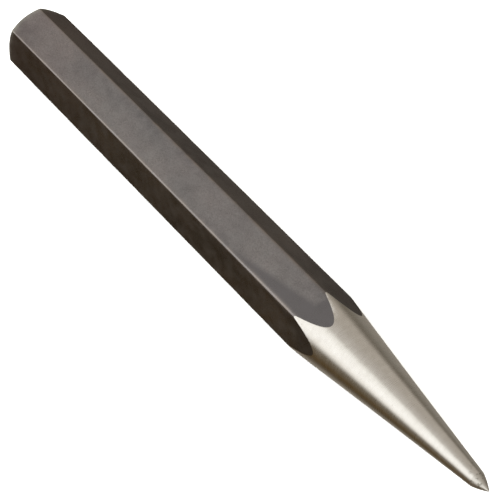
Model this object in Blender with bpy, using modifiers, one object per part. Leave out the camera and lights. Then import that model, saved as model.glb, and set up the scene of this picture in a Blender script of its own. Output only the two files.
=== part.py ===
"""Center punch ground from hexagonal tool-steel bar, lying on one of its flats.

It is one solid piece: a turned outline, cut out of a six-sided bar. Its axis runs along X, with the
struck end at -X and the point at +X. Z = 0 is the flat it rests on, and X = 0 is halfway along it.
"""
import math

import bpy

MM = 0.001

# --- driving dimensions ------------------------------------------------------------------------------
OVERALL_LENGTH = 114.3 * MM       # 4 1/2 in, struck face to tip
ACROSS_FLATS = 9.525 * MM         # 3/8 in hexagonal bar
EDGE_RADIUS = 0.32 * MM           # rounding along the six long edges of the bar

HEAD_CHAMFER = 0.92 * MM          # how far the chamfer reaches along the sharp corners of the bar
HEAD_CHAMFER_ANGLE = math.radians(38)     # between the chamfer and the struck face
HEAD_RIM_RADIUS = 0.8 * MM        # rounding between the chamfer and the struck face

TAPER_START = 76.0 * MM           # from the struck face to where the taper cuts the sharp corners
TAPER_LENGTH = 35.75 * MM         # from there to the shoulder of the point
TAPER_HOLLOW = 0.06 * MM          # depth of the hollow grinding at the middle of the taper
POINT_DIAMETER = 2.43 * MM        # at the shoulder of the point
POINT_ANGLE = math.radians(48)    # included angle of the point

# --- fineness of the facets --------------------------------------------------------------------------
TURNED_STEPS = 96
TAPER_SEGMENTS = 14
ARC_SEGMENTS = 4
EDGE_SEGMENTS = 4
MERGE_DISTANCE = 0.01 * MM

# --- worked out --------------------------------------------------------------------------------------
FLAT_RADIUS = ACROSS_FLATS / 2
CORNER_RADIUS = FLAT_RADIUS / math.cos(math.pi / 6)
OVERSIZE = 1.0 * MM               # how far the turned outline stands clear of the bar's corners
POINT_RADIUS = POINT_DIAMETER / 2
POINT_START = TAPER_START + TAPER_LENGTH
POINT_LENGTH = OVERALL_LENGTH - POINT_START


def arc(centre, radius, start, end, segments):
    """Points (along, out) of an arc; angles are measured from the outward direction towards the tip."""
    points = []
    for i in range(segments + 1):
        angle = start + (end - start) * i / segments
        points.append((centre[0] + radius * math.sin(angle), centre[1] + radius * math.cos(angle)))
    return points


def head_outline():
    """Struck face, its rounded rim, and the chamfer carried on past the corners of the bar."""
    slope = math.tan(HEAD_CHAMFER_ANGLE)
    face_edge = CORNER_RADIUS - HEAD_CHAMFER / slope      # where chamfer and face would meet unrounded
    setback = HEAD_RIM_RADIUS * math.tan(HEAD_CHAMFER_ANGLE / 2)
    rim_centre = (HEAD_RIM_RADIUS, face_edge - setback)
    rim = arc(rim_centre, HEAD_RIM_RADIUS, -math.pi / 2, HEAD_CHAMFER_ANGLE - math.pi / 2, ARC_SEGMENTS)
    chamfer_end = (HEAD_CHAMFER + OVERSIZE * slope, CORNER_RADIUS + OVERSIZE)
    return [(0.0, 0.0)] + rim + [chamfer_end]


def taper_radius(along):
    """Radius of the ground taper at a distance from the struck face: a straight cone, ground hollow."""
    t = (along - TAPER_START) / TAPER_LENGTH
    straight = CORNER_RADIUS + (POINT_RADIUS - CORNER_RADIUS) * t
    return straight - 4 * TAPER_HOLLOW * t * (1 - t)


def taper_outline():
    """The taper, started early enough to stand clear of the corners of the bar."""
    slope = (CORNER_RADIUS - POINT_RADIUS + 4 * TAPER_HOLLOW) / TAPER_LENGTH
    start = TAPER_START - OVERSIZE / slope
    step = (POINT_START - start) / TAPER_SEGMENTS
    return [(start + step * i, taper_radius(start + step * i)) for i in range(TAPER_SEGMENTS + 1)]


def tip_outline():
    """A blunt tip, rounded so that the cone of the point ends exactly at the overall length."""
    half_angle = POINT_ANGLE / 2
    sharp_length = POINT_RADIUS / math.tan(half_angle)
    tip_radius = (sharp_length - POINT_LENGTH) / (1 / math.sin(half_angle) - 1)
    centre = (OVERALL_LENGTH - tip_radius, 0.0)
    return arc(centre, tip_radius, half_angle, math.pi / 2, ARC_SEGMENTS)


def new_collection(name):
    collection = bpy.data.collections.new(name)
    bpy.context.scene.collection.children.link(collection)
    return collection


def move_to(collection, obj):
    for old in list(obj.users_collection):
        old.objects.unlink(obj)
    collection.objects.link(obj)


def steel_material():
    material = bpy.data.materials.new("black_oxide_steel")
    material.use_nodes = True
    shader = material.node_tree.nodes["Principled BSDF"]
    shader.inputs["Base Color"].default_value = (0.055, 0.050, 0.046, 1.0)
    shader.inputs["Metallic"].default_value = 0.8
    shader.inputs["Roughness"].default_value = 0.45
    return material


def lay_along_x(obj):
    """Turn an object modelled along Z, point down, so that its point faces +X at its final place."""
    obj.rotation_euler = (0.0, -math.pi / 2, 0.0)
    obj.location = (-OVERALL_LENGTH / 2, 0.0, FLAT_RADIUS)


def make_turned_outline(collection):
    """The head, taper and point as one turned solid. Depth below the origin is distance from the face."""
    outline = head_outline() + taper_outline() + tip_outline()
    vertices = [(out, 0.0, -along) for along, out in outline]
    vertices[-1] = (0.0, 0.0, -OVERALL_LENGTH)
    edges = [(i, i + 1) for i in range(len(vertices) - 1)]
    mesh = bpy.data.meshes.new("turned_outline")
    mesh.from_pydata(vertices, edges, [])
    obj = bpy.data.objects.new("turned_outline", mesh)
    collection.objects.link(obj)
    screw = obj.modifiers.new("turn", "SCREW")
    screw.steps = TURNED_STEPS
    screw.render_steps = TURNED_STEPS
    screw.use_merge_vertices = True
    screw.merge_threshold = MERGE_DISTANCE
    obj.hide_render = True
    obj.display_type = "WIRE"
    lay_along_x(obj)
    return obj


def make_punch_body(collection, turned_outline):
    """Six-sided bar with rounded edges, cut back to the turned outline."""
    bar_length = OVERALL_LENGTH + 2 * OVERSIZE
    bpy.ops.mesh.primitive_cylinder_add(vertices=6, radius=CORNER_RADIUS, depth=bar_length)
    obj = bpy.context.object
    obj.name = "punch_body"
    obj.data.name = "punch_body"
    move_to(collection, obj)
    for vertex in obj.data.vertices:
        vertex.co.z -= OVERALL_LENGTH / 2
    obj.data.materials.append(steel_material())
    bevel = obj.modifiers.new("rounded_edges", "BEVEL")
    bevel.width = EDGE_RADIUS * math.tan(math.pi / 6)
    bevel.segments = EDGE_SEGMENTS
    bevel.limit_method = "ANGLE"
    bevel.angle_limit = math.radians(30)
    cut = obj.modifiers.new("cut_to_outline", "BOOLEAN")
    cut.operation = "INTERSECT"
    cut.solver = "EXACT"
    cut.object = turned_outline
    lay_along_x(obj)
    obj.data.shade_smooth()
    obj.data.set_sharp_from_angle(angle=math.radians(25))
    return obj


def main():
    for obj in list(bpy.data.objects):
        bpy.data.objects.remove(obj, do_unlink=True)
    cutters = new_collection("cutters")
    parts = new_collection("center_punch")
    turned_outline = make_turned_outline(cutters)
    make_punch_body(parts, turned_outline)


main()
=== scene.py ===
"""Looks of the center punch: one closed piece with a black oxide body and a ground steel taper.

The piece is a grid of rows along the bar and columns around it. Its rows follow the struck face, the
chamfer, the bar, the scallops where the taper cuts the six flats, the taper and the point. Every size is in
metres.
"""
import math

import bpy
import numpy as np
from mathutils import Matrix, Vector


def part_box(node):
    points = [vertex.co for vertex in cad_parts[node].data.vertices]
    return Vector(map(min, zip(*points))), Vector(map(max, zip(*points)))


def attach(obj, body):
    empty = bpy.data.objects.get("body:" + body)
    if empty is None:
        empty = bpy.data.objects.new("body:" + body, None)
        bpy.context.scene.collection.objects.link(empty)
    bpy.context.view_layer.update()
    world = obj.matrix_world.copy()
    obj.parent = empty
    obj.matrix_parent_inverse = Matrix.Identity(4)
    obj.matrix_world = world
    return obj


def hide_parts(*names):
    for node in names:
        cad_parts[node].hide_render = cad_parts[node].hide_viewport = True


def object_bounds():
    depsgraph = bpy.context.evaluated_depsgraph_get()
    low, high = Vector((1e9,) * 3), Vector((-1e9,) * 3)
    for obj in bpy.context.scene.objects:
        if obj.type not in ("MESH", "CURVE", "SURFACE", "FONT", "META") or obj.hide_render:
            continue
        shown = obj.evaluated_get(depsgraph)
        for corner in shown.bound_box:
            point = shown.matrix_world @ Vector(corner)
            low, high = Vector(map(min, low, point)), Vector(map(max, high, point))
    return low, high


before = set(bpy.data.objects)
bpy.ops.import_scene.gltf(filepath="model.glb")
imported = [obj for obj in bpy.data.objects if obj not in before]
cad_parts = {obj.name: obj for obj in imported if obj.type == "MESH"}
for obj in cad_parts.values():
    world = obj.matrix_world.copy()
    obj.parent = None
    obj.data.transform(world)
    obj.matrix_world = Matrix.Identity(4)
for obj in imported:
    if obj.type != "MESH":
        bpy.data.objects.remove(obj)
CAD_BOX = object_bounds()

MM = 0.001
MICRON = 0.001 * MM

# --- the part's sizes, as in the CAD model ---------------------------------------------------------------
LOW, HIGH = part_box("punch_body")
LENGTH = HIGH.x - LOW.x
FLAT_RADIUS = (HIGH.z - LOW.z) / 2
CORNER_RADIUS = FLAT_RADIUS / math.cos(math.pi / 6)
STRUCK_FACE = Vector((LOW.x, (LOW.y + HIGH.y) / 2, (LOW.z + HIGH.z) / 2))
EDGE_RADIUS = 0.32 * MM

HEAD_CHAMFER = 0.92 * MM           # along the bar, at its sharp corners
HEAD_CHAMFER_ANGLE = math.radians(38)      # from the struck face
HEAD_RIM_RADIUS = 0.8 * MM
HEAD_SLOPE = math.tan(HEAD_CHAMFER_ANGLE)

TAPER_START = 76.0 * MM
TAPER_LENGTH = 35.75 * MM
TAPER_HOLLOW = 0.06 * MM
POINT_RADIUS = 1.215 * MM
POINT_HALF_ANGLE = math.radians(24)
POINT_START = TAPER_START + TAPER_LENGTH
POINT_LENGTH = LENGTH - POINT_START
POINT_SWELL = 0.07 * MM            # how far the flanks of the point are convex
SHARP_POINT_LENGTH = POINT_RADIUS / math.tan(POINT_HALF_ANGLE)
TIP_RADIUS = (SHARP_POINT_LENGTH - POINT_LENGTH) / (1 / math.sin(POINT_HALF_ANGLE) - 1)

# --- softened edges --------------------------------------------------------------------------------------
CHAMFER_SOFTENING = 0.06 * MM      # how far the rounding between a flat and the chamfer reaches
SCALLOP_SOFTENING = 0.08 * MM      # the same, square to the edge of a scallop
SHOULDER_SOFTENING = 0.07 * MM     # the same at the shoulder of the point, in radius

# --- small unevenness of the bar -------------------------------------------------------------------------
EDGE_WANDER = 0.13 * MM            # how much more rounded the six edges are in places
WANDER_LENGTHS = 3.1 * MM, 0.6 * MM        # how long those places are: coarse and fine
# How much more each edge is rounded where the taper starts, from the +Y edge of the top flat onwards.
EDGE_WEAR = [0.32 * MM, 0.24 * MM, 0.18 * MM, 0.26 * MM, 0.16 * MM, 0.23 * MM]
FLAT_WAVES = 0.003 * MM            # long shallow waves in the flats
WAVE_SPAN = 4.0 * MM, 2.2 * MM     # their size along and across the flats
TAPER_RUNOUT = 0.027 * MM          # the taper starts this far off the axis of the bar
RUNOUT_HEADING = math.radians(65)
# Each nick: distance from the struck face, angle round the bar, half length, half width, depth.
NICKS = [
    (7.4 * MM, -25.0, 0.12 * MM, 0.70 * MM, 0.030 * MM),
    (35.2 * MM, -30.5, 0.80 * MM, 0.20 * MM, 0.035 * MM),
    (33.7 * MM, 30.5, 0.50 * MM, 0.22 * MM, 0.040 * MM),
    (35.9 * MM, 29.5, 0.60 * MM, 0.25 * MM, 0.035 * MM),
    (39.2 * MM, 30.0, 0.45 * MM, 0.22 * MM, 0.040 * MM),
    (42.4 * MM, 30.5, 0.70 * MM, 0.22 * MM, 0.030 * MM),
    (18.6 * MM, 90.0, 0.60 * MM, 0.25 * MM, 0.040 * MM),
    (52.3 * MM, 150.5, 0.50 * MM, 0.25 * MM, 0.040 * MM),
    (27.5 * MM, -91.0, 0.55 * MM, 0.25 * MM, 0.035 * MM),
    (61.0 * MM, -149.5, 0.45 * MM, 0.22 * MM, 0.040 * MM),
]

# --- marks that the materials show -----------------------------------------------------------------------
CREST_WEAR = 0.30 * MM             # half width of the worn crest of the long edges
CREST_FROM = 0.2 * MM              # distance from the struck face at which the crests begin
FACE_RIM_WEAR = 0.5                # wear on the rim of the struck face, next to 1 on the crests
FACE_RIM_PLACE, FACE_RIM_WIDTH = 0.09 * MM, 0.06 * MM
RIM_REFLECTION_ON_FLAT, RIM_REFLECTION_ON_CHAMFER = 0.45 * MM, 0.25 * MM     # reach of the painted rim reflection on either side
BROWN_LENGTH = 26 * MM             # of the bar beside the struck face that is browner
TURNED_LENGTH = 0.15 * MM          # of the struck end that shows lathe rings
TAPER_COARSENESS = 0.7             # of the grinding at the narrow end of the taper, next to 1 on the point
POINT_BLEND = 0.12 * MM            # over which the coarseness of the point begins

# The burr is a rim of rougher steel along one side of each scallop, painted bright there as a highlight.
BURR_PLACE, BURR_WIDTH = 1.6, 2.1  # in scallop softenings, from the edge of the scallop
BURR_FROM, BURR_FULL = 11.0, 19.0  # degrees from the middle of the flat where it begins and is full
BURR_HIGHLIGHT_ON_FLAT = [1.0, 0.3, 0.7, 0.4, 0.8, 0.5]      # how strong the painted highlight is on each flat, from the top one onwards

# The painted shade is a darker colour painted on the oxide beside each scallop, in place of the reflection
# of darker surroundings. One part of it slants across the flat, and the other lies at the apex of the
# scallop. Each has a blurred border.
PAINTED_SHADE_ON_FLAT = [1.0, 0.35, 0.8, 0.6, 0.9, 0.5]    # how dark it is on each flat
SLANT_FROM, SLANT_SHIFT = 61.5 * MM, 1.5 * MM      # where it begins, and how much later on each next flat
SLANT_SIDE, SLANT_WIDENING = 2.1 * MM, 0.156       # how far off the middle it begins, and how it widens
SLANT_BLUR = 0.8 * MM
APEX_FROM, APEX_SIDE = 77.6 * MM, 0.8 * MM         # where the part at the apex begins, along and across
APEX_GROWING, APEX_SHRINKING = 0.8, 0.25           # with the distance along and across
APEX_BLUR = 0.45 * MM

# --- fineness of the grid --------------------------------------------------------------------------------
FLAT_COLUMNS = 26
EDGE_COLUMNS = 10
EDGE_GAP = 0.15                    # between the columns of an edge and a flat, in steps of the flat
BAR_STEP = 0.42 * MM
TAPER_STEP = 0.55 * MM
POINT_STEP = 0.2 * MM
CLOSEST_ROWS = 0.03 * MM
ROWS_BEFORE_SCALLOPS = 15
ROWS_AFTER_SCALLOPS = 16
ARC_ROWS = 8                       # on the rounded rim of the struck face, and on the rounded tip
BAR_FROM, BAR_TO = 3.0 * MM, 74.0 * MM      # between these the rows are square to the bar
TAPER_FROM = 84.5 * MM                      # and again from here
TAPER_MARGIN = 0.35 * MM                    # from the last row of the taper to the shoulder of the point
# Places of the rows where they aren't evenly spaced, as shares of the stretch or of the softening.
FACE_SHARES = (0.08, 0.2, 0.35, 0.5, 0.65, 0.8, 0.92)
CHAMFER_SHARES = (0.25, 0.5, 0.75, 1.0)
CHAMFER_EDGE_SHARES = (-0.7, -0.4, -0.13, 0.13, 0.4, 0.7, 1.0)
HEAD_SHARES = (0.1, 0.22, 0.36, 0.52, 0.68, 0.84)
SCALLOP_SHARES = (-0.7, -0.4, -0.1, 0.2, 0.45, 0.7, 1.0, 1.6, 2.3, 3.2)
FIRST_STEEL_SHARE = -0.1
SHOULDER_SHIFTS = (-0.24, -0.15, -0.07, 0.0, 0.07, 0.15, 0.24)      # in millimetres, not shares

# --- camera, floor and light -----------------------------------------------------------------------------
CAMERA_LENS = 190.13
CAMERA_DISTANCE = 371.98 * MM
CAMERA_AZIMUTH = math.radians(-10.935)
CAMERA_ELEVATION = math.radians(51.288)
CAMERA_ROLL = math.radians(-30.973)
CAMERA_AIM = Vector((1.328, 0.181, -1.003)) * MM    # from the middle of the part
FLOOR_RADIUS = 5.0
FLOOR_SIDES = 96
FLOOR_LIGHT = 4.2                  # strength of the sun that lights the floor
FLOOR_LIGHT_SPREAD = math.radians(120)
# Light round the bar: angle from straight up (positive towards +Y), and the colour that comes from there.
LIGHT_RING = [
    (-180, (0.355, 0.335, 0.295)),
    (-155, (0.36, 0.32, 0.27)),
    (-130, (0.112, 0.083, 0.050)),
    (-112, (0.128, 0.080, 0.030)),
    (-98, (0.18, 0.143, 0.097)),
    (-81, (0.20, 0.165, 0.12)),
    (-64, (1.48, 1.46, 1.42)),
    (-48, (1.66, 1.67, 1.67)),
    (-26, (1.55, 1.55, 1.53)),
    (-13, (1.37, 1.37, 1.33)),
    (-4, (0.83, 0.80, 0.75)),
    (8, (0.74, 0.70, 0.66)),
    (30, (0.62, 0.575, 0.52)),
    (60, (0.63, 0.58, 0.52)),
    (78, (0.20, 0.175, 0.14)),
    (105, (0.335, 0.31, 0.27)),
    (130, (0.365, 0.33, 0.285)),
    (155, (0.365, 0.335, 0.29)),
    (180, (0.355, 0.335, 0.295)),
]
LIGHT_PEAK = 2.0                   # strength of the world, by which the colours of the ring are divided
END_LIGHT = (0.95, 0.97, 0.88)     # from straight beyond either end of the bar
END_LIGHT_SPAN = (0.84, 0.96)      # cosines between which it fades in
BACKDROP = 1.05                    # the plain white that the camera sees beyond the floor


# ---------------------------------------------------------------------------------------------------------
# Shape
# ---------------------------------------------------------------------------------------------------------
def soft_min(a, b, reach):
    """The smaller of two radii, rounded where they are within reach of each other."""
    overlap = np.maximum(reach - np.abs(a - b), 0.0)
    return np.minimum(a, b) - overlap ** 2 / (4 * reach)


def waves(u, v, seed, count=9):
    """A smooth uneven pattern between about 0 and 1, with features about one unit wide."""
    chance = np.random.default_rng(seed)
    total = 0.0
    for _ in range(count):
        heading = chance.uniform(0, 2 * math.pi)
        pace = chance.uniform(0.5, 1.5) * math.pi
        shift = chance.uniform(0, 2 * math.pi)
        total = total + np.sin(pace * (u * math.cos(heading) + v * math.sin(heading)) + shift)
    return np.clip(0.5 + 0.5 * total / math.sqrt(count), 0.0, 1.0)


def edge_half_angle(edge_radius):
    """Half the angle, seen from the axis, that a rounded edge takes up."""
    centre = (FLAT_RADIUS - edge_radius) / math.cos(math.pi / 6)
    return np.arctan2(edge_radius / 2, centre + edge_radius * math.cos(math.pi / 6))


def bar_radius(angle, edge_radius):
    """Radius of the six-sided bar with rounded edges. Angle 0 is the middle of the top flat."""
    from_edge = np.mod(angle, math.pi / 3) - math.pi / 6
    flat = FLAT_RADIUS / np.cos(math.pi / 6 - np.abs(from_edge))
    centre = (FLAT_RADIUS - edge_radius) / math.cos(math.pi / 6)
    inside = np.maximum(edge_radius ** 2 - (centre * np.sin(from_edge)) ** 2, 0.0)
    rounded = centre * np.cos(from_edge) + np.sqrt(inside)
    return np.where(np.abs(from_edge) < edge_half_angle(edge_radius), rounded, flat)


def taper_radius(along, angle):
    """Radius of the ground taper: a cone, ground slightly hollow, which runs true only at the point."""
    t = (along - TAPER_START) / TAPER_LENGTH
    widest = CORNER_RADIUS + TAPER_RUNOUT * np.cos(angle - RUNOUT_HEADING)
    return widest + (POINT_RADIUS - widest) * t - 4 * TAPER_HOLLOW * t * (1 - t)


def taper_station(radius, angle):
    """Distance from the struck face at which the taper has this radius."""
    widest = CORNER_RADIUS + TAPER_RUNOUT * np.cos(angle - RUNOUT_HEADING)
    a = 4 * TAPER_HOLLOW
    b = widest - POINT_RADIUS + a
    t = (b - np.sqrt(b * b - 4 * a * (widest - radius))) / (2 * a)
    return TAPER_START + TAPER_LENGTH * t


def chamfer_radius(along):
    """Radius of the chamfer at this distance from the struck face."""
    return CORNER_RADIUS - (HEAD_CHAMFER - along) / HEAD_SLOPE


def chamfer_station(radius):
    """Distance from the struck face at which the chamfer has this radius."""
    return HEAD_CHAMFER - (CORNER_RADIUS - radius) * HEAD_SLOPE


def point_radius(along):
    """Radius of the point between its shoulder and its rounded tip."""
    t = np.clip((along - POINT_START) / POINT_LENGTH, 0.0, 1.0)
    cone = POINT_RADIUS - (along - POINT_START) * math.tan(POINT_HALF_ANGLE)
    return cone + 4 * POINT_SWELL * t * (1 - t)


def nick_depth(along, angle):
    """How deep the small nicks and scratches cut at a place on the bar."""
    depth = 0.0
    for place, degrees, half_length, half_width, deepest in NICKS:
        turn = np.mod(angle - math.radians(degrees) + math.pi, 2 * math.pi) - math.pi
        away = ((along - place) / half_length) ** 2 + (turn * FLAT_RADIUS / half_width) ** 2
        depth = depth + deepest * np.exp(-away)
    return depth


def edge_number(angle):
    """Which of the six long edges is nearest, counted from the +Y edge of the top flat onwards."""
    return np.round((np.mod(angle, 2 * math.pi) - math.pi / 6) / (math.pi / 3)).astype(int) % 6


def flat_number(angle):
    """Which of the six flats an angle lies on, counted from the top one towards +Y."""
    return np.round(np.mod(angle, 2 * math.pi) / (math.pi / 3)).astype(int) % 6


def degrees_off_flat(angle):
    """Degrees from the middle of the nearest flat, positive in the direction in which the angle grows."""
    return np.degrees(np.mod(angle + math.pi / 6, math.pi / 3) - math.pi / 6)


def worn_edge_radius(along, angle):
    """Rounding of the nearest long edge, which grows towards the taper."""
    wear = np.array(EDGE_WEAR)[edge_number(angle)]
    return EDGE_RADIUS + wear * np.clip(along / TAPER_START, 0, 1) ** 2


def uneven_bar_radius(along, angle):
    """The bar with its edges unevenly rounded, its flats a little wavy, and its nicks."""
    edge = edge_number(angle)          # it also shifts the patterns, so that no two edges are alike
    coarse, fine = WANDER_LENGTHS
    wander = waves(along / coarse, edge * 7.3, seed=11) * waves(along / fine, edge * 5.1, seed=12)
    radius = bar_radius(angle, worn_edge_radius(along, angle) + EDGE_WANDER * wander)
    wave_length, wave_width = WAVE_SPAN
    hollow = FLAT_WAVES * waves(along / wave_length, angle * FLAT_RADIUS / wave_width, seed=13)
    return radius - hollow - nick_depth(along, angle)


def column_angles():
    """Angles of the columns: close together round the six edges, wider apart on the flats."""
    half_edge = float(edge_half_angle(EDGE_RADIUS))
    flat_span = math.pi / 3 - 2 * half_edge
    angles = []
    for side in range(6):
        edge = side * math.pi / 3 - math.pi / 6
        angles += [edge + half_edge * (2 * i / EDGE_COLUMNS - 1) for i in range(EDGE_COLUMNS + 1)]
        angles += [edge + half_edge + flat_span * (i + EDGE_GAP) / (FLAT_COLUMNS + 2 * EDGE_GAP)
                   for i in range(FLAT_COLUMNS + 1)]
    return np.array(angles)


def steps(start, end, step):
    """Evenly spaced stations from start to end, at most one step apart."""
    return np.linspace(start, end, math.ceil((end - start) / step) + 1)


def even_shares(count):
    """The ends of this many equal parts of a stretch, as shares of it."""
    return np.linspace(0, 1, count + 1)[1:]


def bar_stations():
    """Stations along the bar, with a few more at each nick that is shorter than a step."""
    stations = set(steps(BAR_FROM, BAR_TO, BAR_STEP).tolist())
    for place, _, half_length, _, _ in NICKS:
        if half_length < BAR_STEP:
            stations |= {place + half_length * i * 0.5 for i in range(-4, 5)}
    ordered = sorted(stations)
    return [ordered[0]] + [b for a, b in zip(ordered, ordered[1:]) if b - a > CLOSEST_ROWS]


def level(along, angle):
    """The same station in every column."""
    return np.full_like(angle, along)


def head_rows(angle):
    """Rows from the middle of the struck face, round its rim and over the chamfer onto the flats."""
    face_radius = chamfer_radius(0.0) - HEAD_RIM_RADIUS * math.tan(HEAD_CHAMFER_ANGLE / 2)
    rows = [(level(0.0, angle), level(face_radius * share, angle)) for share in FACE_SHARES]
    for turn in np.linspace(0, HEAD_CHAMFER_ANGLE, ARC_ROWS):
        rows.append((level(HEAD_RIM_RADIUS * (1 - math.cos(turn)), angle),
                     level(face_radius + HEAD_RIM_RADIUS * math.sin(turn), angle)))
    rim_end = HEAD_RIM_RADIUS * (1 - math.cos(HEAD_CHAMFER_ANGLE))
    crossing = chamfer_station(bar_radius(angle, EDGE_RADIUS))
    first, last = crossing - CHAMFER_SOFTENING, crossing + CHAMFER_SOFTENING
    stations = [rim_end + (first - rim_end) * share for share in CHAMFER_SHARES]
    stations += [crossing + CHAMFER_SOFTENING * share for share in CHAMFER_EDGE_SHARES]
    stations += [last + (BAR_FROM - last) * share for share in HEAD_SHARES]
    for along in stations:
        bar = uneven_bar_radius(along, angle)
        rows.append((along, soft_min(bar, chamfer_radius(along), CHAMFER_SOFTENING / HEAD_SLOPE)))
    return rows


def bar_rows(angle):
    """Rows along the six-sided bar."""
    stations = [level(along, angle) for along in bar_stations()]
    return [(along, uneven_bar_radius(along, angle)) for along in stations]


def scallop_edge(angle):
    """Where the taper cuts the bar in each column, and how far the edge is softened there along the bar."""
    radius = bar_radius(angle, worn_edge_radius(TAPER_START, angle))
    crossing = taper_station(radius, angle)
    slant = np.gradient(np.concatenate([crossing, crossing, crossing]),
                        np.concatenate([angle - 2 * math.pi, angle, angle + 2 * math.pi]))
    slant = slant[len(angle):2 * len(angle)] / radius
    return crossing, SCALLOP_SOFTENING * np.sqrt(1 + slant ** 2)


def scallop_rows(angle):
    """Rows that bend from square to the edges of the scallops, and over them: oxide, then steel."""
    crossing, reach = scallop_edge(angle)
    slope = (CORNER_RADIUS - POINT_RADIUS + 4 * TAPER_HOLLOW) / TAPER_LENGTH
    bend = crossing - reach - BAR_TO
    before = [BAR_TO + bend * share for share in even_shares(ROWS_BEFORE_SCALLOPS)]
    over = [crossing + reach * share for share in SCALLOP_SHARES]
    rows = []
    for along in before + over:
        bar = uneven_bar_radius(along, angle)
        rows.append((along, soft_min(bar, taper_radius(along, angle), slope * reach)))
    steel_from = len(before) + SCALLOP_SHARES.index(FIRST_STEEL_SHARE)
    return rows[:steel_from], rows[steel_from:]


def taper_rows(angle, last):
    """Rows along the taper, from the last row beside the scallops to the shoulder of the point."""
    stations = [last + (TAPER_FROM - last) * share for share in even_shares(ROWS_AFTER_SCALLOPS)]
    taper_end = POINT_START - TAPER_MARGIN
    stations += [level(along, angle) for along in steps(TAPER_FROM, taper_end, TAPER_STEP)[1:]]
    return [(along, taper_radius(along, angle)) for along in stations]


def point_rows(angle):
    """Rows over the shoulder of the point, along its flanks and round its tip."""
    tip_start = LENGTH - TIP_RADIUS * (1 - math.sin(POINT_HALF_ANGLE))
    stations = [POINT_START + shift * MM for shift in SHOULDER_SHIFTS]
    stations += steps(stations[-1], tip_start, POINT_STEP)[1:].tolist()
    rows = []
    for along in stations:
        along = level(along, angle)
        rows.append((along, soft_min(taper_radius(along, angle), point_radius(along), SHOULDER_SOFTENING)))
    for turn in np.linspace(POINT_HALF_ANGLE, math.pi / 2, ARC_ROWS)[1:-1]:
        rows.append((level(LENGTH - TIP_RADIUS * (1 - math.sin(turn)), angle),
                     level(TIP_RADIUS * math.cos(turn), angle)))
    return rows


# ---------------------------------------------------------------------------------------------------------
# Marks on the surface: each gives a value for every vertex, from its station and its angle
# ---------------------------------------------------------------------------------------------------------
def oxide_wear(along, angle):
    """1 on the crests of the six long edges, less on the rim of the struck face, 0 elsewhere."""
    from_edge = (np.mod(angle, math.pi / 3) - math.pi / 6) * CORNER_RADIUS
    crest = np.where(along > CREST_FROM, np.exp(-(from_edge / CREST_WEAR) ** 2), 0.0)
    rim = FACE_RIM_WEAR * np.exp(-((along - FACE_RIM_PLACE) / FACE_RIM_WIDTH) ** 2)
    return np.maximum(crest, rim)


def painted_rim_reflection(along, angle):
    """1 on the edge between flats and chamfer, fading to both sides: where a lighter colour is painted as a
    reflection of the pale floor.
    """
    from_edge = along - chamfer_station(bar_radius(angle, EDGE_RADIUS))
    over_flat = np.exp(-np.maximum(from_edge, 0.0) / RIM_REFLECTION_ON_FLAT)
    over_chamfer = np.exp(-(np.minimum(from_edge, 0.0) / RIM_REFLECTION_ON_CHAMFER) ** 2)
    return over_flat * over_chamfer


def hammered_end(along, angle):
    """1 at the struck end, where the oxide is browner, and 0 from a quarter of the way along."""
    return np.clip(1 - along / BROWN_LENGTH, 0.0, 1.0)


def struck_end(along, angle):
    """1 on the struck face and its rim, which are turned, and 0 on the bar."""
    return np.clip(2 - along / TURNED_LENGTH, 0.0, 1.0)


def painted_burr_highlight(along, angle):
    """1 on a thin rim of rougher steel along one side of each scallop, where a bright colour is painted as a
    highlight.
    """
    crossing, reach = scallop_edge(angle[0])
    beyond = (along - crossing) / reach - BURR_PLACE
    one_side = np.clip((degrees_off_flat(angle) - BURR_FROM) / (BURR_FULL - BURR_FROM), 0, 1)
    width = BURR_WIDTH * (0.5 + 1.2 * one_side)
    return np.exp(-(beyond / width) ** 2) * one_side * np.array(BURR_HIGHLIGHT_ON_FLAT)[flat_number(angle)]


def coarseness(along, angle):
    """How coarse the ground surface is: rising along the taper, and 1 on the point."""
    taper = TAPER_COARSENESS * np.clip((along - TAPER_START) / TAPER_LENGTH, 0.0, 1.0) ** 2
    point = np.clip((along - POINT_START) / POINT_BLEND + 0.5, 0.0, 1.0)
    return np.maximum(taper, point)


def painted_scallop_shade(along, angle):
    """Where painted shade, standing for a reflection of darker surroundings, darkens the oxide beside the
    scallops,
    0 to 1. The slant changes side from flat to flat.
    """
    flat = flat_number(angle)
    across = np.radians(degrees_off_flat(angle)) * FLAT_RADIUS
    side = np.where(flat % 2 == 0, 1.0, -1.0)
    slanting = (along - SLANT_FROM - SLANT_SHIFT * flat) * SLANT_WIDENING - SLANT_SIDE - across * side
    at_apex = (along - APEX_FROM) * APEX_GROWING - APEX_SHRINKING * np.abs(across - APEX_SIDE)
    inside = np.maximum(slanting / SLANT_BLUR, at_apex / APEX_BLUR)
    return np.clip(0.5 + inside, 0.0, 1.0) * np.array(PAINTED_SHADE_ON_FLAT)[flat]


MARKS = {
    "oxide_wear": oxide_wear,
    "painted_rim_reflection": painted_rim_reflection,
    "hammered_end": hammered_end,
    "struck_end": struck_end,
    "painted_burr_highlight": painted_burr_highlight,
    "coarseness": coarseness,
    "painted_scallop_shade": painted_scallop_shade,
}


def grid_faces(row_count, columns, first_steel_row):
    """Faces between the rows, and a fan round each pole, with the material slot of each face."""
    struck_pole = row_count * columns
    tip_pole = struck_pole + 1
    faces = []
    slots = []
    for row in range(row_count - 1):
        a, b = row * columns, (row + 1) * columns
        for column in range(columns):
            beside = (column + 1) % columns
            faces.append((a + column, b + column, b + beside, a + beside))
        slots += [1 if row >= first_steel_row else 0] * columns
    last = (row_count - 1) * columns
    for column in range(columns):
        beside = (column + 1) % columns
        faces.append((struck_pole, column, beside))
        faces.append((tip_pole, last + beside, last + column))
        slots += [0, 1]
    return faces, slots


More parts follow.
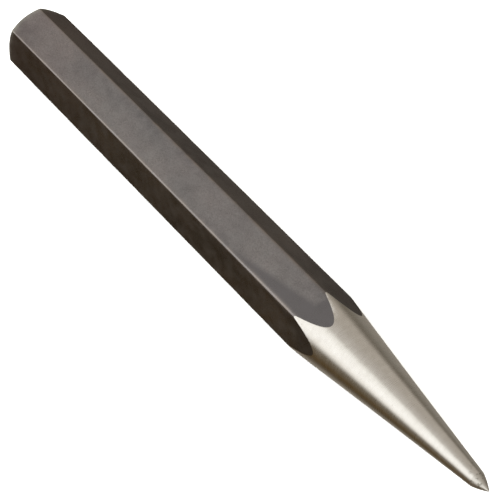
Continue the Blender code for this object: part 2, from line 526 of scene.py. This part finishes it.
def make_punch():
    """The whole punch as one closed mesh, standing for the CAD node punch_body."""
    angle = column_angles()
    bar_side, steel_side = scallop_rows(angle)
    oxide = head_rows(angle) + bar_rows(angle) + bar_side
    rows = oxide + steel_side + taper_rows(angle, steel_side[-1][0]) + point_rows(angle)
    along = np.array([row[0] for row in rows])
    radius = np.array([row[1] for row in rows])
    around = np.broadcast_to(angle, along.shape)
    points = np.stack([along, radius * np.sin(around), radius * np.cos(around)], axis=-1).reshape(-1, 3)
    points = np.vstack([points, [[0.0, 0.0, 0.0], [LENGTH, 0.0, 0.0]]]) + np.array(STRUCK_FACE)
    faces, slots = grid_faces(len(rows), len(angle), len(oxide))

    mesh = bpy.data.meshes.new("center_punch")
    mesh.from_pydata(points.tolist(), [], faces)
    mesh.materials.append(black_oxide())
    mesh.materials.append(ground_steel())
    mesh.polygons.foreach_set("material_index", slots)
    mesh.shade_smooth()
    for name, mark in MARKS.items():
        values = mark(along, around)
        attribute = mesh.attributes.new(name, "FLOAT", "POINT")
        attribute.data.foreach_set("value", np.append(values.ravel(), [values[0, 0], values[-1, 0]]))
    mesh.update()
    punch = bpy.data.objects.new("center_punch", mesh)
    bpy.context.scene.collection.objects.link(punch)
    return punch


# ---------------------------------------------------------------------------------------------------------
# Materials
# ---------------------------------------------------------------------------------------------------------
def node(tree, kind, inputs=None, **settings):
    """A new node. Each input is given a value, or linked when it is given another node's socket."""
    made = tree.nodes.new(kind)
    for name, value in settings.items():
        setattr(made, name, value)
    for key, value in (inputs or {}).items():
        if isinstance(value, bpy.types.NodeSocket):
            tree.links.new(value, made.inputs[key])
        else:
            made.inputs[key].default_value = value
    return made


def new_material(name):
    """A material with an empty tree but for its Principled shader."""
    material = bpy.data.materials.new(name)
    material.use_nodes = True
    return material, material.node_tree, material.node_tree.nodes["Principled BSDF"]


def stretched(tree, stretch):
    """The part's own coordinates, squeezed along each axis: a small factor gives long features there."""
    place = node(tree, "ShaderNodeTexCoord")
    return node(tree, "ShaderNodeMapping", {"Vector": place.outputs["Object"], "Scale": stretch}).outputs[0]


def noise(tree, size, stretch=(1, 1, 1), detail=3.0, roughness=0.55):
    """Noise from 0 to 1 with features of the given size, in metres."""
    made = node(tree, "ShaderNodeTexNoise", {
        "Vector": stretched(tree, stretch), "Scale": 1 / size, "Detail": detail, "Roughness": roughness})
    return made.outputs["Fac"]


def turned_rings(tree, pitch):
    """Rings round the axis of the bar, from 0 to 1, this far apart, as a lathe leaves them on an end."""
    rings_per_metre = 1 / pitch
    place = node(tree, "ShaderNodeTexCoord")
    on_axis = node(tree, "ShaderNodeMapping", {
        "Vector": place.outputs["Object"], "Location": (0.0, -STRUCK_FACE.y, -STRUCK_FACE.z)})
    return node(tree, "ShaderNodeTexWave", {
        "Vector": on_axis.outputs[0], "Scale": rings_per_metre * 2 * math.pi / 20, "Distortion": 0.6,
        "Detail": 1.0}, wave_type="RINGS", rings_direction="X").outputs["Fac"]


def spread(tree, value, low, high, to_low=0.0, to_high=1.0):
    """A value mapped from one range to another, held at its ends."""
    return node(tree, "ShaderNodeMapRange", {
        "Value": value, "From Min": low, "From Max": high, "To Min": to_low, "To Max": to_high}).outputs[0]


def mark_value(tree, name):
    """The value that one of the marks has on the surface."""
    return node(tree, "ShaderNodeAttribute", attribute_name=name).outputs["Fac"]


def math_node(tree, operation, *values):
    """The result of a calculation with values or sockets."""
    return node(tree, "ShaderNodeMath", dict(enumerate(values)), operation=operation).outputs[0]


def mix_colour(tree, factor, a, b, blend="MIX"):
    """Colour a, blended with colour b by the factor. The node's colours are inputs 6 and 7 and output 2."""
    inputs = {0: factor, 6: a, 7: b}
    return node(tree, "ShaderNodeMix", inputs, data_type="RGBA", blend_type=blend).outputs[2]


def bump(tree, height, distance, under=None):
    """A normal for a height that is this far up at 1, over the bumps of another normal if there is one."""
    inputs = {"Height": height, "Distance": distance}
    if under is not None:
        inputs["Normal"] = under
    return node(tree, "ShaderNodeBump", inputs).outputs[0]


def black_oxide():
    """Satin black oxide over drawn bar: mottled, finely pitted, worn thinner on the long edges, with painted
    shade beside the scallops and a painted reflection on the rim of the chamfer.
    """
    material, tree, shader = new_material("black_oxide")
    wear = mark_value(tree, "oxide_wear")
    rim = mark_value(tree, "painted_rim_reflection")
    browned = mark_value(tree, "hammered_end")
    painted_shade = mark_value(tree, "painted_scallop_shade")
    turned = mark_value(tree, "struck_end")
    clouds = noise(tree, 9 * MM, (0.5, 1, 1), detail=2.0)
    tint = noise(tree, 3.5 * MM, (0.6, 1, 1), detail=2.0)
    mottle = noise(tree, 1.6 * MM, (0.8, 1, 1), detail=3.0)
    grain = noise(tree, 0.22 * MM, detail=3.0)
    drawn = noise(tree, 0.13 * MM, (0.03, 1, 1), detail=2.0)

    blue_black = (0.195, 0.185, 0.190, 1)
    brown_black = (0.285, 0.263, 0.260, 1)
    pale_spot = (0.285, 0.270, 0.270, 1)
    pit_black = (0.138, 0.131, 0.130, 1)
    green_tint = (0.95, 0.99, 0.985, 1)
    brown_tint = (0.93, 0.87, 0.865, 1)
    painted_shade_black = (0.155, 0.149, 0.155, 1)
    worn_crest = (0.255, 0.220, 0.195, 1)
    rim_reflection_colour = (0.52, 0.53, 0.465, 1)
    base = mix_colour(tree, spread(tree, clouds, 0.38, 0.62), blue_black, brown_black)
    base = mix_colour(tree, spread(tree, mottle, 0.38, 0.66, 0.0, 0.6), base, pale_spot)
    base = mix_colour(tree, spread(tree, grain, 0.38, 0.72, 0.0, 0.6), base, pit_black)
    base = mix_colour(tree, spread(tree, tint, 0.38, 0.62, 0.0, 0.4), base, green_tint, "MULTIPLY")
    base = mix_colour(tree, browned, base, brown_tint, "MULTIPLY")
    # Painted shade beside the scallops: a darker colour in place of a reflection of darker surroundings,
    # left off the worn crests.
    painted_shade_share = math_node(tree, "MULTIPLY", painted_shade, spread(tree, wear, 0.0, 1.0, 0.9, 0.1))
    base = mix_colour(tree, painted_shade_share, base, painted_shade_black)
    broken = math_node(tree, "MULTIPLY", wear, spread(tree, mottle, 0.40, 0.60, 0.35, 1.0))
    base = mix_colour(tree, math_node(tree, "MULTIPLY", broken, 0.80), base, worn_crest)
    # Painted reflection: a lighter colour on the rim of the chamfer, in place of the pale floor seen in it.
    rim_reflection_share = math_node(tree, "MULTIPLY", rim, spread(tree, mottle, 0.40, 0.60, 0.45, 0.75))
    base = mix_colour(tree, rim_reflection_share, base, rim_reflection_colour)
    tree.links.new(base, shader.inputs["Base Color"])

    rough = spread(tree, mottle, 0.3, 0.7, 0.26, 0.35)
    rough = math_node(tree, "ADD", rough, spread(tree, grain, 0.3, 0.7, -0.04, 0.05))
    rough = math_node(tree, "ADD", rough, spread(tree, rim, 0.0, 1.0, 0.0, 0.30))
    tree.links.new(rough, shader.inputs["Roughness"])

    facing_marks = math_node(tree, "MULTIPLY", turned, turned_rings(tree, 0.16 * MM))
    normal = bump(tree, facing_marks, 1.5 * MICRON)
    normal = bump(tree, drawn, 0.5 * MICRON, normal)
    normal = bump(tree, grain, 1.4 * MICRON, normal)
    tree.links.new(normal, shader.inputs["Normal"])
    shader.inputs["Metallic"].default_value = 1.0
    shader.inputs["Specular Tint"].default_value = (0.42, 0.40, 0.38, 1)
    return material


def ground_steel():
    """Bright tool steel, with the fine rings that the grinding wheel left round the taper, and a painted
    highlight beside the scallops.
    """
    material, tree, shader = new_material("ground_steel")
    rings = noise(tree, 0.16 * MM, (1, 0.06, 0.06), detail=3.0, roughness=0.65)
    bands = noise(tree, 1.1 * MM, (1, 0.05, 0.05), detail=2.0)
    scratches = noise(tree, 0.09 * MM, (1, 0.12, 0.12), detail=2.0)
    clouds = noise(tree, 3.5 * MM, detail=3.0)
    blotches = noise(tree, 0.9 * MM, detail=3.0)
    specks = noise(tree, 0.35 * MM, (1, 0.6, 0.6), detail=2.0)
    coarse = mark_value(tree, "coarseness")
    point = spread(tree, coarse, 0.5, 1.0)
    frays = noise(tree, 0.4 * MM, detail=2.0)
    frayed = spread(tree, frays, 0.42, 0.54, 0.25, 1.0)
    burr_highlight = math_node(tree, "MULTIPLY", mark_value(tree, "painted_burr_highlight"), frayed)

    dull_ring = (0.58, 0.555, 0.515, 1)
    bright_ring = (0.64, 0.62, 0.58, 1)
    cloud_grey = (0.55, 0.52, 0.48, 1)
    blotch_grey = (0.49, 0.465, 0.425, 1)
    scratch_grey = (0.42, 0.39, 0.35, 1)
    speck_brown = (0.20, 0.17, 0.14, 1)
    pale_steel = (0.69, 0.67, 0.63, 1)
    point_grey = (0.59, 0.565, 0.52, 1)
    pit_brown = (0.16, 0.145, 0.11, 1)
    highlight_steel_colour = (0.93, 0.92, 0.90, 1)
    base = mix_colour(tree, spread(tree, rings, 0.3, 0.7), dull_ring, bright_ring)
    base = mix_colour(tree, spread(tree, clouds, 0.38, 0.66, 0.0, 0.4), base, cloud_grey)
    base = mix_colour(tree, spread(tree, blotches, 0.42, 0.70, 0.0, 0.42), base, blotch_grey)
    base = mix_colour(tree, spread(tree, scratches, 0.62, 0.78, 0.0, 0.4), base, scratch_grey)
    base = mix_colour(tree, spread(tree, specks, 0.72, 0.80, 0.0, 0.5), base, speck_brown)
    base = mix_colour(tree, spread(tree, coarse, 0.0, TAPER_COARSENESS, 0.0, 0.2), base, pale_steel)
    base = mix_colour(tree, math_node(tree, "MULTIPLY", point, 0.8), base, point_grey)
    pitted = math_node(tree, "MULTIPLY", point, spread(tree, specks, 0.58, 0.66, 0.0, 0.65))
    base = mix_colour(tree, pitted, base, pit_brown)
    # Painted highlight: a bright colour on the burr beside the scallops, in place of the light that a
    # rounded edge there would catch.
    base = mix_colour(tree, burr_highlight, base, highlight_steel_colour)
    tree.links.new(base, shader.inputs["Base Color"])

    rough = spread(tree, rings, 0.3, 0.7, 0.22, 0.30)
    rough = math_node(tree, "ADD", rough, spread(tree, bands, 0.3, 0.7, -0.015, 0.015))
    rough = math_node(tree, "ADD", rough, spread(tree, coarse, 0.0, 1.0, 0.0, 0.13))
    rough = math_node(tree, "ADD", rough, spread(tree, coarse, TAPER_COARSENESS, 1.0, 0.0, 0.14))
    rough = math_node(tree, "ADD", rough, spread(tree, burr_highlight, 0.0, 1.0, 0.0, 0.35))
    tree.links.new(rough, shader.inputs["Roughness"])

    normal = bump(tree, rings, 0.18 * MICRON)
    normal = bump(tree, scratches, 0.2 * MICRON, normal)
    tree.links.new(normal, shader.inputs["Normal"])
    round_the_axis = node(tree, "ShaderNodeTangent", direction_type="RADIAL", axis="X").outputs[0]
    tree.links.new(round_the_axis, shader.inputs["Tangent"])
    shader.inputs["Metallic"].default_value = 1.0
    shader.inputs["Anisotropic"].default_value = 0.6
    shader.inputs["Anisotropic Rotation"].default_value = 0.25
    return material


def floor_white():
    """Plain pale matt floor with a barely visible grain."""
    material, tree, shader = new_material("floor_white")
    grain = noise(tree, 40 * MM, detail=2.0)
    base = mix_colour(tree, grain, (0.86, 0.86, 0.855, 1), (0.88, 0.88, 0.875, 1))
    tree.links.new(base, shader.inputs["Base Color"])
    shader.inputs["Roughness"].default_value = 0.9
    shader.inputs["Specular IOR Level"].default_value = 0.1
    return material


# ---------------------------------------------------------------------------------------------------------
# Stage
# ---------------------------------------------------------------------------------------------------------
def make_floor():
    """A round floor under the part. Metal above it mirrors the light ring and not the floor."""
    turns = [2 * math.pi * i / FLOOR_SIDES for i in range(FLOOR_SIDES)]
    points = [(FLOOR_RADIUS * math.cos(turn), FLOOR_RADIUS * math.sin(turn), CAD_BOX[0].z) for turn in turns]
    mesh = bpy.data.meshes.new("floor")
    mesh.from_pydata(points, [], [tuple(range(FLOOR_SIDES))])
    mesh.materials.append(floor_white())
    floor = bpy.data.objects.new("floor", mesh)
    floor.visible_glossy = False
    bpy.context.scene.collection.objects.link(floor)
    return floor


def make_world():
    """Soft light in a ring round the bar, as from long softboxes; the camera itself sees plain white."""
    world = bpy.data.worlds.new("studio")
    world.use_nodes = True
    tree = world.node_tree
    tree.nodes.clear()
    heading = node(tree, "ShaderNodeTexCoord").outputs["Generated"]
    parts = node(tree, "ShaderNodeSeparateXYZ", {0: heading}).outputs
    turn = math_node(tree, "ARCTAN2", parts["Y"], parts["Z"])
    share = spread(tree, turn, -math.pi, math.pi)
    ring = node(tree, "ShaderNodeValToRGB", {"Fac": share})
    stops = ring.color_ramp.elements
    while len(stops) < len(LIGHT_RING):
        stops.new(0.5)
    for stop, (degrees, colour) in zip(stops, LIGHT_RING):
        stop.position = (degrees + 180) / 360
        stop.color = [channel / LIGHT_PEAK for channel in colour] + [1]
    endways = spread(tree, math_node(tree, "ABSOLUTE", parts["X"]), *END_LIGHT_SPAN)
    end_colour = [channel / LIGHT_PEAK for channel in END_LIGHT] + [1]
    all_round = mix_colour(tree, endways, ring.outputs["Color"], end_colour)
    shaped = node(tree, "ShaderNodeBackground", {"Color": all_round, "Strength": LIGHT_PEAK})
    plain = node(tree, "ShaderNodeBackground", {"Color": (1, 1, 1, 1), "Strength": BACKDROP})
    to_camera = node(tree, "ShaderNodeLightPath").outputs["Is Camera Ray"]
    either = node(tree, "ShaderNodeMixShader", {0: to_camera, 1: shaped.outputs[0], 2: plain.outputs[0]})
    node(tree, "ShaderNodeOutputWorld", {"Surface": either.outputs[0]})
    bpy.context.scene.world = world


def make_floor_light():
    """A broad light from above for the floor, which the metal doesn't mirror."""
    lamp = bpy.data.lights.new("floor_light", "SUN")
    lamp.energy = FLOOR_LIGHT
    lamp.angle = FLOOR_LIGHT_SPREAD
    light = bpy.data.objects.new("floor_light", lamp)
    light.visible_glossy = False
    bpy.context.scene.collection.objects.link(light)


def make_camera():
    lens = bpy.data.cameras.new("camera")
    lens.lens = CAMERA_LENS
    lens.clip_start = 0.01
    lens.clip_end = 20.0
    camera = bpy.data.objects.new("camera", lens)
    aim = (CAD_BOX[0] + CAD_BOX[1]) / 2 + CAMERA_AIM
    away = Vector((math.cos(CAMERA_ELEVATION) * math.cos(CAMERA_AZIMUTH),
                   math.cos(CAMERA_ELEVATION) * math.sin(CAMERA_AZIMUTH),
                   math.sin(CAMERA_ELEVATION)))
    level = away.to_track_quat("Z", "Y").to_matrix()
    rolled = level @ Matrix.Rotation(CAMERA_ROLL, 3, "Z")
    camera.matrix_world = Matrix.Translation(aim + away * CAMERA_DISTANCE) @ rolled.to_4x4()
    bpy.context.scene.collection.objects.link(camera)
    bpy.context.scene.camera = camera


def main():
    make_camera()
    make_world()
    make_floor_light()
    make_floor()
    bpy.context.scene.view_settings.view_transform = "Standard"
    punch = make_punch()
    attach(punch, "root")
    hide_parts("punch_body")


main()
